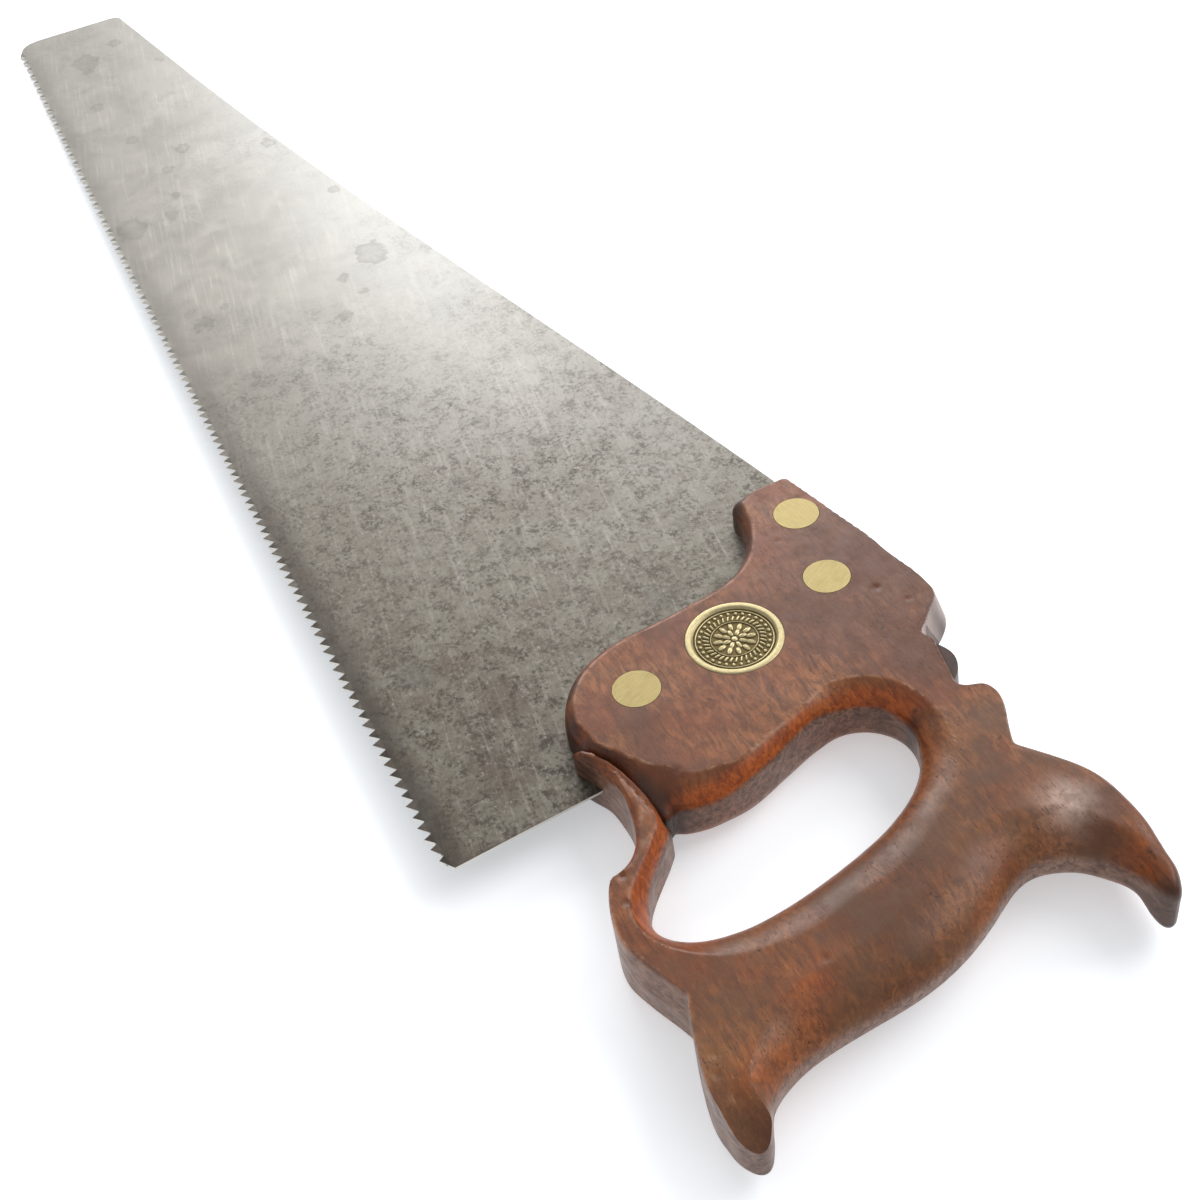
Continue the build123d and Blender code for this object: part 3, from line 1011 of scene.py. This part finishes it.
def make_medallion():
    """The turned and struck brass disc that fills its seat in the cheek."""
    centre = np.array(middle_of("medallion")[:2])
    rim = np.linspace(MEDAL_INNER, MEDAL_R, RIM_RINGS)[1:]
    reach = np.concatenate((np.linspace(MEDAL_CORE, MEDAL_INNER, MEDAL_RINGS), rim))
    turn = np.linspace(0, 2 * pi, MEDAL_TURNS, endpoint=False)
    radius, angle = np.meshgrid(reach, turn, indexing="ij")
    height, high = medallion_face(radius, angle)
    x = centre[0] + radius * np.cos(angle)
    y = centre[1] + radius * np.sin(angle)
    top = np.stack((x, y, height), -1).reshape(-1, 3)
    skirt = np.column_stack((x[-1], y[-1], np.full(MEDAL_TURNS, MEDAL_FLOOR)))
    ends = [(*centre, MEDAL_GROUND + MEDAL_RELIEF * BOSS[1]), (*centre, MEDAL_FLOOR)]
    foot = len(top)
    faces = []
    for a in range(foot):
        b = a + 1 if (a + 1) % MEDAL_TURNS else a + 1 - MEDAL_TURNS
        faces.append((a, a + MEDAL_TURNS, b + MEDAL_TURNS, b))
    last = foot + MEDAL_TURNS
    for column in range(MEDAL_TURNS):
        following = (column + 1) % MEDAL_TURNS
        faces.append((column, following, last))
        faces.append((foot + following, foot + column, last + 1))
    piece = new_mesh("medallion_struck", np.concatenate((top, skirt, ends)) * MM, faces)
    shine = np.concatenate((high.ravel(), np.full(MEDAL_TURNS, SKIRT_SHINE), (1.0, SKIRT_SHINE)))
    add_value(piece, "high", shine)
    face_outwards(piece)
    shade(piece, MEDAL_CREASE)
    return piece


# ---------------------------------------------------------------- materials


class Nodes:
    """A short way to write a material's nodes."""

    def __init__(self, name, colour=None):
        self.colour = colour
        self.material = bpy.data.materials.new(name)
        self.material.use_nodes = True
        self.tree = self.material.node_tree
        self.tree.nodes.clear()
        self.shader = self.tree.nodes.new("ShaderNodeBsdfPrincipled")
        self.add("OutputMaterial", Surface=self.shader.outputs["BSDF"])
        self.place = self.add("TexCoord").outputs["Object"]

    def put(self, value, socket):
        """Link a socket, or set a plain value."""
        if isinstance(value, bpy.types.NodeSocket):
            self.tree.links.new(value, socket)
        elif socket.type == "RGBA":
            socket.default_value = (*value, 1)
        else:
            socket.default_value = value

    def fill(self, node, inputs):
        """Link or set a node's inputs, named with underscores for spaces."""
        for name, value in inputs.items():
            self.put(value, node.inputs[name.replace("_", " ")])
        return node

    def add(self, kind, **inputs):
        """A new node of one kind."""
        return self.fill(self.tree.nodes.new("ShaderNode" + kind), inputs)

    def mapped(self, scale=(1, 1, 1), turn=0, shift=(0, 0, 0)):
        """The place on the object, turned about Z in degrees and shifted, and then scaled."""
        turned = self.add("Mapping", Rotation=(0, 0, radians(turn)), Location=shift, Vector=self.place)
        return self.add("Mapping", Scale=scale, Vector=turned.outputs["Vector"]).outputs["Vector"]

    def noise(self, scale, detail=4, roughness=0.55, distortion=0.0, at=None):
        """Fractal noise from 0 to 1."""
        node = self.add("TexNoise", Scale=scale, Detail=detail, Roughness=roughness)
        return self.fill(node, {"Distortion": distortion, "Vector": at or self.place}).outputs["Fac"]

    def cells(self, scale, at):
        """Distance to scattered points."""
        return self.add("TexVoronoi", Scale=scale, Vector=at).outputs["Distance"]

    def mark(self, name):
        """A number stored on the piece's vertices."""
        node = self.add("Attribute")
        node.attribute_name = name
        return node.outputs["Fac"]

    def band(self, value, low, high, bottom=0.0, top=1.0):
        """Remap a range, clamped."""
        node = self.add("MapRange", Value=value, From_Min=low, From_Max=high, To_Min=bottom, To_Max=top)
        node.interpolation_type = "SMOOTHSTEP"
        return node.outputs["Result"]

    def math(self, kind, a, b=0.0):
        """One sum of two values."""
        node = self.add("Math")
        node.operation = kind
        self.put(a, node.inputs[0])
        self.put(b, node.inputs[1])
        return node.outputs["Value"]

    def times(self, a, b):
        """The product of two values."""
        return self.math("MULTIPLY", a, b)

    def plus(self, a, b):
        """The sum of two values."""
        return self.math("ADD", a, b)

    def most(self, a, b):
        """The larger of two values."""
        return self.math("MAXIMUM", a, b)

    def mix(self, share, a, b):
        """Blend two colours."""
        node = self.add("Mix")
        node.data_type = "RGBA"
        sockets = [socket for socket in node.inputs if socket.type == "RGBA"]
        for value, socket in zip((share, a, b), (node.inputs[0], *sockets)):
            self.put(value, socket)
        return next(socket for socket in node.outputs if socket.type == "RGBA")

    def paint(self, share, colour):
        """Lay a share of another colour over the surface's own."""
        self.colour = self.mix(share, self.colour, colour)

    def part(self, axis):
        """One coordinate of the place on the object, in metres."""
        return self.add("SeparateXYZ", Vector=self.place).outputs[axis]

    def flatness(self):
        """1 on faces that look straight up or down, 0 on upright ones."""
        normal = self.add("NewGeometry").outputs["True Normal"]
        return self.math("ABSOLUTE", self.add("SeparateXYZ", Vector=normal).outputs["Z"])

    def bump(self, height, strength, distance):
        """Bump from a height from 0 to 1, of this depth in metres."""
        node = self.add("Bump", Strength=strength, Distance=distance, Height=height)
        self.put(node.outputs["Normal"], self.shader.inputs["Normal"])

    def finish(self, **inputs):
        """Set the rest of what the surface is, and return the material."""
        self.fill(self.shader, {"Base_Color": self.colour, **inputs})
        return self.material


def srgb(*display):
    """A colour given as 8-bit display values, as linear light."""
    shares = [value / 255 for value in display]
    return tuple(v / 12.92 if v <= 0.04045 else ((v + 0.055) / 1.055) ** 2.4 for v in shares)


WOOD_DARK = srgb(84, 44, 22)
WOOD_LIGHT = srgb(162, 99, 52)
WOOD_RED = srgb(122, 57, 24)
# the grey-pink colour of a painted sheen
WOOD_GREY_SHEEN = srgb(152, 107, 70)
WOOD_OLIVE = srgb(92, 66, 46)
# the colour of a painted highlight, the horn's pale gloss patch
WOOD_PAINTED_HIGHLIGHT = srgb(214, 192, 180)
WOOD_RUST = srgb(126, 52, 16)
WOOD_ORANGE = srgb(192, 98, 36)
WOOD_FLECK = srgb(40, 22, 16)
WOOD_SCRATCH = srgb(196, 132, 80)
# painted shade (partly grime) and painted grey sheen for the upright walls
WALL_SHADE_GRIME = srgb(76, 50, 40)
WALL_GREY_SHEEN = srgb(150, 116, 98)
# the colour of a painted reflection on leaning walls
WALL_REFLECTION = srgb(192, 172, 164)
# pale line on crisp arrises: partly worn varnish, partly painted highlight
ARRIS_WEAR_HIGHLIGHT = srgb(206, 160, 130)
# dark colour for dirt, and for painted shade in the groove and its crease and on lowered faces
GRIME_AND_SHADE = srgb(34, 22, 18)

STEEL_LIGHT = srgb(171, 170, 167)
STEEL_MID = srgb(145, 144, 140)
STEEL_DULL = srgb(110, 106, 98)
STEEL_BROWN = srgb(80, 72, 62)
STEEL_BRIGHT = srgb(196, 194, 188)
# bare cut steel on the edges, with a painted highlight
STEEL_EDGE_HIGHLIGHT = srgb(226, 224, 218)
STEEL_PIT = srgb(56, 50, 44)
STEEL_STAIN = srgb(80, 77, 72)
STEEL_OLIVE = srgb(104, 99, 88)

BRASS_DARK = srgb(134, 120, 80)
BRASS_LIGHT = srgb(162, 147, 102)
BRASS_BRIGHT = srgb(186, 172, 132)
MEDAL_BRASS = srgb(190, 177, 136)
PATINA = srgb(104, 90, 58)

BRASS_TURN = 35  # degrees between the filing marks of one piece and the next
FLOOR_PALE = (0.84, 0.86, 0.89)
FLOOR_GLOW = (0.94, 0.97, 1)
FLOOR_GLOW_STRENGTH = 0.42


def wood_ground(n, t):
    """The wood's own colour, streaked along its grain and darker in broad clouds, with grey clouds of
    painted sheen.
    """
    n.colour = n.mix(n.band(t.grain, 0.25, 0.75), WOOD_DARK, WOOD_LIGHT)
    n.paint(n.band(t.broad, 0.4, 0.68, 0.0, 0.75), WOOD_RED)
    # grey clouds: painted sheen
    n.paint(n.band(t.cloud, 0.48, 0.72, 0.0, 0.6), WOOD_GREY_SHEEN)
    n.paint(n.band(t.cloud, 0.5, 0.3, 0.0, 0.8), WOOD_DARK)
    n.paint(n.band(t.mottle, 0.42, 0.68, 0.0, 0.5), WOOD_DARK)
    n.paint(n.times(n.mark("held"), n.band(t.patchy, 0.35, 0.6, 0.6, 0.2)), WOOD_OLIVE)


def wood_wear_and_painted_light(n, t):
    """Orange where hands have worn the varnish, painted shade and grey sheen on the walls (partly
    grime), a painted reflection on leaning walls, and a painted highlight on the horn.
    """
    held = n.math("MINIMUM", n.plus(n.mark("hole_side"), n.mark("foot")), 1.0)
    worn = n.times(n.times(held, n.mark("rolled")), n.band(t.broad, 0.3, 0.5, 0.6, 1.0))
    elsewhere = n.times(n.mark("rolled"), n.band(t.cloud, 0.52, 0.64, 0.0, 0.55))
    spots = n.times(n.mark("orange_spot"), n.band(t.mottle, 0.3, 0.6, 1.0, 0.6))
    worn = n.most(n.most(worn, elsewhere), spots)
    n.paint(n.times(worn, 0.86), n.mix(n.band(t.grain, 0.3, 0.7), WOOD_RUST, WOOD_ORANGE))
    # painted shade and grey sheen on the upright walls, partly grime
    wall = n.times(n.mark("wall"), n.band(t.broad, 0.3, 0.7, 0.9, 0.6))
    n.paint(wall, n.mix(n.band(t.grain, 0.3, 0.7), WALL_SHADE_GRIME, WALL_GREY_SHEEN))
    # painted reflection: pale grey on the walls that lean in
    n.paint(n.times(n.mark("painted_wall_reflection"), 0.8), WALL_REFLECTION)
    # painted highlight: a pale gloss patch on the horn
    n.paint(n.times(n.mark("painted_highlight_spot"), n.band(t.mottle, 0.35, 0.65, 0.8, 0.35)), WOOD_PAINTED_HIGHLIGHT)


def wood_flecks(n, t):
    """Dark pores, smudges and light scratches, in patches. Returns the pores."""
    pores = n.times(n.band(t.fleck, 0.58, 0.7, 0.0, 0.8), n.band(t.patchy, 0.4, 0.62, 0.12, 1.0))
    n.paint(pores, WOOD_FLECK)
    smudge = n.band(n.noise(150, 4, 0.7, 1.2), 0.62, 0.72, 0.0, 0.75)
    n.paint(n.times(smudge, n.band(t.patchy, 0.45, 0.6)), WOOD_FLECK)
    n.paint(n.times(n.band(t.dash, 0.62, 0.74, 0.0, 0.4), n.band(t.cloud, 0.45, 0.6)), WOOD_SCRATCH)
    return pores


def wood_dirt_and_shade(n, t):
    """Painted shade, partly dirt, in the groove and its crease, darker lowered faces, dirt on corners,
    and the pale crisp arrises, partly wear and partly painted highlight.
    """
    # darker lowered faces, and painted shade in the groove and its crease, partly dirt
    sunk = n.times(n.mark("lowered"), n.band(t.mottle, 0.35, 0.65, 0.95, 0.6))
    dark = n.times(n.most(n.mark("crevice"), sunk), 0.9)
    n.paint(n.most(dark, n.times(n.mark("corner_grime"), 0.85)), GRIME_AND_SHADE)
    # pale line on crisp arrises: partly worn varnish, partly painted highlight
    n.paint(n.times(n.mark("arris"), n.band(n.noise(190, 3), 0.42, 0.6, 0.05, 0.45)), ARRIS_WEAR_HIGHLIGHT)


def wood_material():
    """Red-brown varnished wood, worn orange on the round-overs and grimy in the corners, with painted
    shade in the groove and painted sheen and highlights.
    """
    n = Nodes("worn_handle_wood")
    t = SimpleNamespace(
        grain=n.noise(1.0, 7, 0.66, 1.0, n.mapped(scale=(120, 520, 520), turn=1.5)),
        fleck=n.noise(1.0, 3, 0.6, 0.6, n.mapped(scale=(480, 2100, 2100), turn=1.5)),
        dash=n.noise(1.0, 2, 0.5, 0.3, n.mapped(scale=(210, 1300, 1300), turn=-3, shift=(3, 1, 2))),
        broad=n.noise(42, 5, 0.6, 0.6),
        cloud=n.noise(20, 4, 0.55, 0.5),
        mottle=n.noise(230, 5, 0.65),
        patchy=n.noise(75, 3, 0.5, 0.0, n.mapped(shift=(0.4, 0.2, 0.1))),
    )
    wood_ground(n, t)
    wood_wear_and_painted_light(n, t)
    pores = wood_flecks(n, t)
    wood_dirt_and_shade(n, t)
    height = n.plus(n.times(t.grain, 0.4), n.times(pores, -0.5))
    n.bump(n.plus(height, n.times(t.mottle, 0.45)), 0.4, 0.0003)
    rough = n.band(t.mottle, 0.3, 0.7, 0.32, 0.5)
    return n.finish(Roughness=rough, Specular_IOR_Level=0.3, Coat_Weight=0.15, Coat_Roughness=0.3)


def steel_ground(n, t):
    """Grey patina, duller towards the teeth and browner towards the heel, with fine scratches."""
    n.colour = n.mix(n.band(t.patch, 0.3, 0.7), STEEL_MID, STEEL_LIGHT)
    beside = n.plus(n.part("Y"), n.times(t.cloud, 0.05))
    toothward = n.band(n.plus(beside, n.times(n.part("X"), 0.06)), 0.055, -0.045)
    n.paint(n.times(toothward, 0.8), STEEL_DULL)
    n.paint(n.times(t.heelward, 0.92), n.mix(n.band(t.patch, 0.38, 0.62), STEEL_BROWN, STEEL_OLIVE))
    n.paint(n.band(t.scratch, 0.5, 0.8, 0.0, 0.2), STEEL_BRIGHT)
    cross = n.noise(1.0, 3, 0.6, 0.0, n.mapped(scale=(40, 1500, 1500), turn=-24))
    n.paint(n.band(cross, 0.62, 0.85, 0.0, 0.2), STEEL_BRIGHT)


def steel_pits(n, t):
    """Pits and blots, thickest towards the heel, and the dark strip along the teeth."""
    share = n.plus(n.times(t.heelward, 0.75), n.band(t.cloud, 0.4, 0.65, 0.03, 0.2))
    clump = n.plus(n.times(t.speckle, 0.62), n.times(n.noise(170, 5, 0.66), 0.38))
    n.paint(n.times(n.band(clump, 0.48, 0.6), share), STEEL_PIT)
    blot = n.band(n.noise(230, 5, 0.7, 0.2), 0.5, 0.66, 0.0, 0.45)
    n.paint(n.times(blot, t.heelward), STEEL_BROWN)
    n.paint(n.times(n.band(t.speckle, 0.44, 0.3), n.times(t.heelward, 0.6)), STEEL_MID)
    strip = n.band(n.part("Y"), -0.070, -0.0785)
    n.paint(n.times(strip, n.plus(n.times(t.heelward, 0.5), 0.25)), STEEL_PIT)


def steel_rings(n, scale, shift, size):
    """Scattered ring-shaped stains."""
    wobble = n.times(n.math("SUBTRACT", n.noise(260, 4), 0.5), 0.22)
    reach = n.plus(n.cells(scale, n.mapped(scale=(1, 1.35, 1), shift=shift)), wobble)
    inner = n.band(reach, size - 0.11, size - 0.02, 0.45, 1.0)
    n.paint(n.times(n.times(n.band(reach, size, size - 0.03), inner), 0.36), STEEL_STAIN)


def steel_material():
    """Old saw steel: grey patina, pitted and brown towards the heel, scratched along its length, with a
    painted highlight on its edges.
    """
    n = Nodes("patinated_saw_steel")
    t = SimpleNamespace(
        cloud=n.noise(14, 5, 0.6),
        patch=n.noise(60, 6, 0.68, 0.4),
        speckle=n.noise(760, 6, 0.75, 0.15),
        scratch=n.noise(1.0, 5, 0.7, 0.2, n.mapped(scale=(30, 700, 700), turn=9)),
    )
    t.heelward = n.band(n.plus(n.part("X"), n.times(t.cloud, 0.16)), -0.02, 0.30)
    steel_ground(n, t)
    steel_pits(n, t)
    steel_rings(n, 17, (0.013, 0.02, 0), 0.17)
    steel_rings(n, 31, (0.3, 0.11, 0), 0.15)
    # bright edge and tooth faces: bare cut steel, with a painted highlight
    n.paint(n.band(n.flatness(), 0.7, 0.4, 0.0, 0.85), STEEL_EDGE_HIGHLIGHT)
    n.bump(n.plus(n.times(t.scratch, 0.3), n.times(t.speckle, -0.7)), 0.3, 0.00012)
    return n.finish(Roughness=n.band(t.patch, 0.3, 0.7, 0.4, 0.52), Metallic=0.75)


def brass_material(name, turn):
    """Filed brass, dulled by handling, its scratches in one direction."""
    n = Nodes(name)
    scratch = n.noise(1.0, 4, 0.65, 0.0, n.mapped(scale=(240, 5200, 5200), turn=turn))
    stray = n.noise(1.0, 3, 0.6, 0.0, n.mapped(scale=(160, 4200, 4200), turn=turn + 62))
    cloud = n.noise(190, 4)
    n.colour = n.mix(n.band(scratch, 0.3, 0.7), BRASS_DARK, BRASS_LIGHT)
    n.paint(n.band(stray, 0.6, 0.75, 0.0, 0.5), BRASS_BRIGHT)
    n.paint(n.band(cloud, 0.48, 0.75, 0.0, 0.6), BRASS_DARK)
    n.bump(scratch, 0.3, 0.0001)
    return n.finish(Roughness=n.band(scratch, 0.3, 0.7, 0.36, 0.5), Metallic=0.85)


def medallion_material():
    """Struck brass: its high parts rubbed bright and its ground dark with old patina."""
    n = Nodes("struck_medallion_brass")
    high = n.mark("high")
    grain = n.noise(900, 3, 0.6)
    n.colour = n.mix(n.band(n.plus(high, n.times(grain, 0.3)), 0.35, 0.95), PATINA, MEDAL_BRASS)
    n.bump(grain, 0.3, 0.0001)
    return n.finish(Roughness=n.band(high, 0.2, 0.9, 0.6, 0.34), Metallic=0.85)


def floor_material():
    """A pale, faintly glowing studio floor."""
    n = Nodes("studio_floor", FLOOR_PALE)
    glow = {"Emission_Color": FLOOR_GLOW, "Emission_Strength": FLOOR_GLOW_STRENGTH}
    return n.finish(Roughness=0.7, Specular_IOR_Level=0.2, **glow)


# ---------------------------------------------------------------- stage, camera and lights


# The camera's place, its own axes, and its lens and sensor in mm
CAMERA_PLACE = (0.52717, -0.11697, 0.36245)
CAMERA_RIGHT = (0.42774, 0.89474, -0.12839)
CAMERA_UP = (-0.58846, 0.38346, 0.71180)
CAMERA_BACK = (0.68611, -0.22892, 0.69054)
LENS = 49.83
SENSOR = 36.0
NEAR = 0.01

# Two places that the floor passes through, as x and z: 0.15 mm under the toe and under the cheek
TOE_REST = (-0.360, 0.00990)
CHEEK_REST = (0.170, -0.00015)
FLOOR_HALF = 6.0

# Soft boxes: place, the point that they face, width, height and power; and the strength of the sky
WINDOWS = {
    "window": ((-2.0, 0.9, 1.5), (0, 0, 0), 2.0, 1.2, 40),
    "low_window": ((-2.2, 0.15, 0.85), (-0.3, 0, 0), 1.4, 0.7, 3.5),
    "key": ((0.2, 1.6, 1.5), (0.1, 0, 0), 1.6, 1.2, 22),
}
SKY = 0.55


def make_camera():
    """The photograph's viewpoint: low over the handle, looking along the plate to the toe."""
    data = bpy.data.cameras.new("camera")
    data.lens = LENS
    data.sensor_width = SENSOR
    data.clip_start = NEAR
    turn = Matrix((CAMERA_RIGHT, CAMERA_UP, CAMERA_BACK)).transposed().to_4x4()
    bpy.context.scene.camera = new_object("camera", data, Matrix.Translation(CAMERA_PLACE) @ turn)


def make_floor():
    """A floor that the saw's cheek and toe both rest on, so it slopes a little in the CAD's frame."""
    slope = atan2(CHEEK_REST[1] - TOE_REST[1], CHEEK_REST[0] - TOE_REST[0])
    corners = [(x * FLOOR_HALF, y * FLOOR_HALF, 0) for x, y in ((-1, -1), (1, -1), (1, 1), (-1, 1))]
    floor = new_mesh("floor", corners, [(0, 1, 2, 3)])
    place = Matrix.Translation((CHEEK_REST[0], 0, CHEEK_REST[1]))
    floor.matrix_world = place @ Matrix.Rotation(-slope, 4, "Y")
    floor.data.materials.append(floor_material())


def make_window(name, place, target, width, height, power):
    """A soft box that faces a point."""
    data = bpy.data.lights.new(name, "AREA")
    data.shape = "RECTANGLE"
    data.size, data.size_y = width, height
    data.energy = power
    facing = (Vector(target) - Vector(place)).to_track_quat("-Z", "Y")
    new_object(name, data, Matrix.Translation(place) @ facing.to_matrix().to_4x4())


def make_lights():
    """A white sky and the studio's soft boxes."""
    world = bpy.data.worlds.new("studio")
    bpy.context.scene.world = world
    world.use_nodes = True
    background = world.node_tree.nodes["Background"]
    background.inputs["Color"].default_value = (1, 1, 1, 1)
    background.inputs["Strength"].default_value = SKY
    for name, window in WINDOWS.items():
        make_window(name, *window)


# ---------------------------------------------------------------- assembly


def set_material(mesh, material):
    """Give a mesh one material all over."""
    if not mesh.materials:
        mesh.materials.append(material)
    for index in range(len(mesh.materials)):
        mesh.materials[index] = material


def main():
    """Set the stage, make the detailed pieces, and give the CAD's own pieces their brass."""
    make_camera()
    make_floor()
    make_lights()
    bpy.context.scene.view_settings.view_transform = "Standard"
    handle = make_handle()
    handle.data.materials.append(wood_material())
    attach(handle, "root")
    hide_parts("handle")
    plate = make_plate()
    plate.data.materials.append(steel_material())
    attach(plate, "root")
    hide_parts("saw_plate")
    medallion = make_medallion()
    medallion.data.materials.append(medallion_material())
    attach(medallion, "root")
    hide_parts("medallion")
    for number, name in enumerate(sorted(NODES)):
        if name not in ("handle", "saw_plate", "medallion"):
            set_material(NODES[name].data, brass_material("filed_brass_" + name, BRASS_TURN * number))


main()
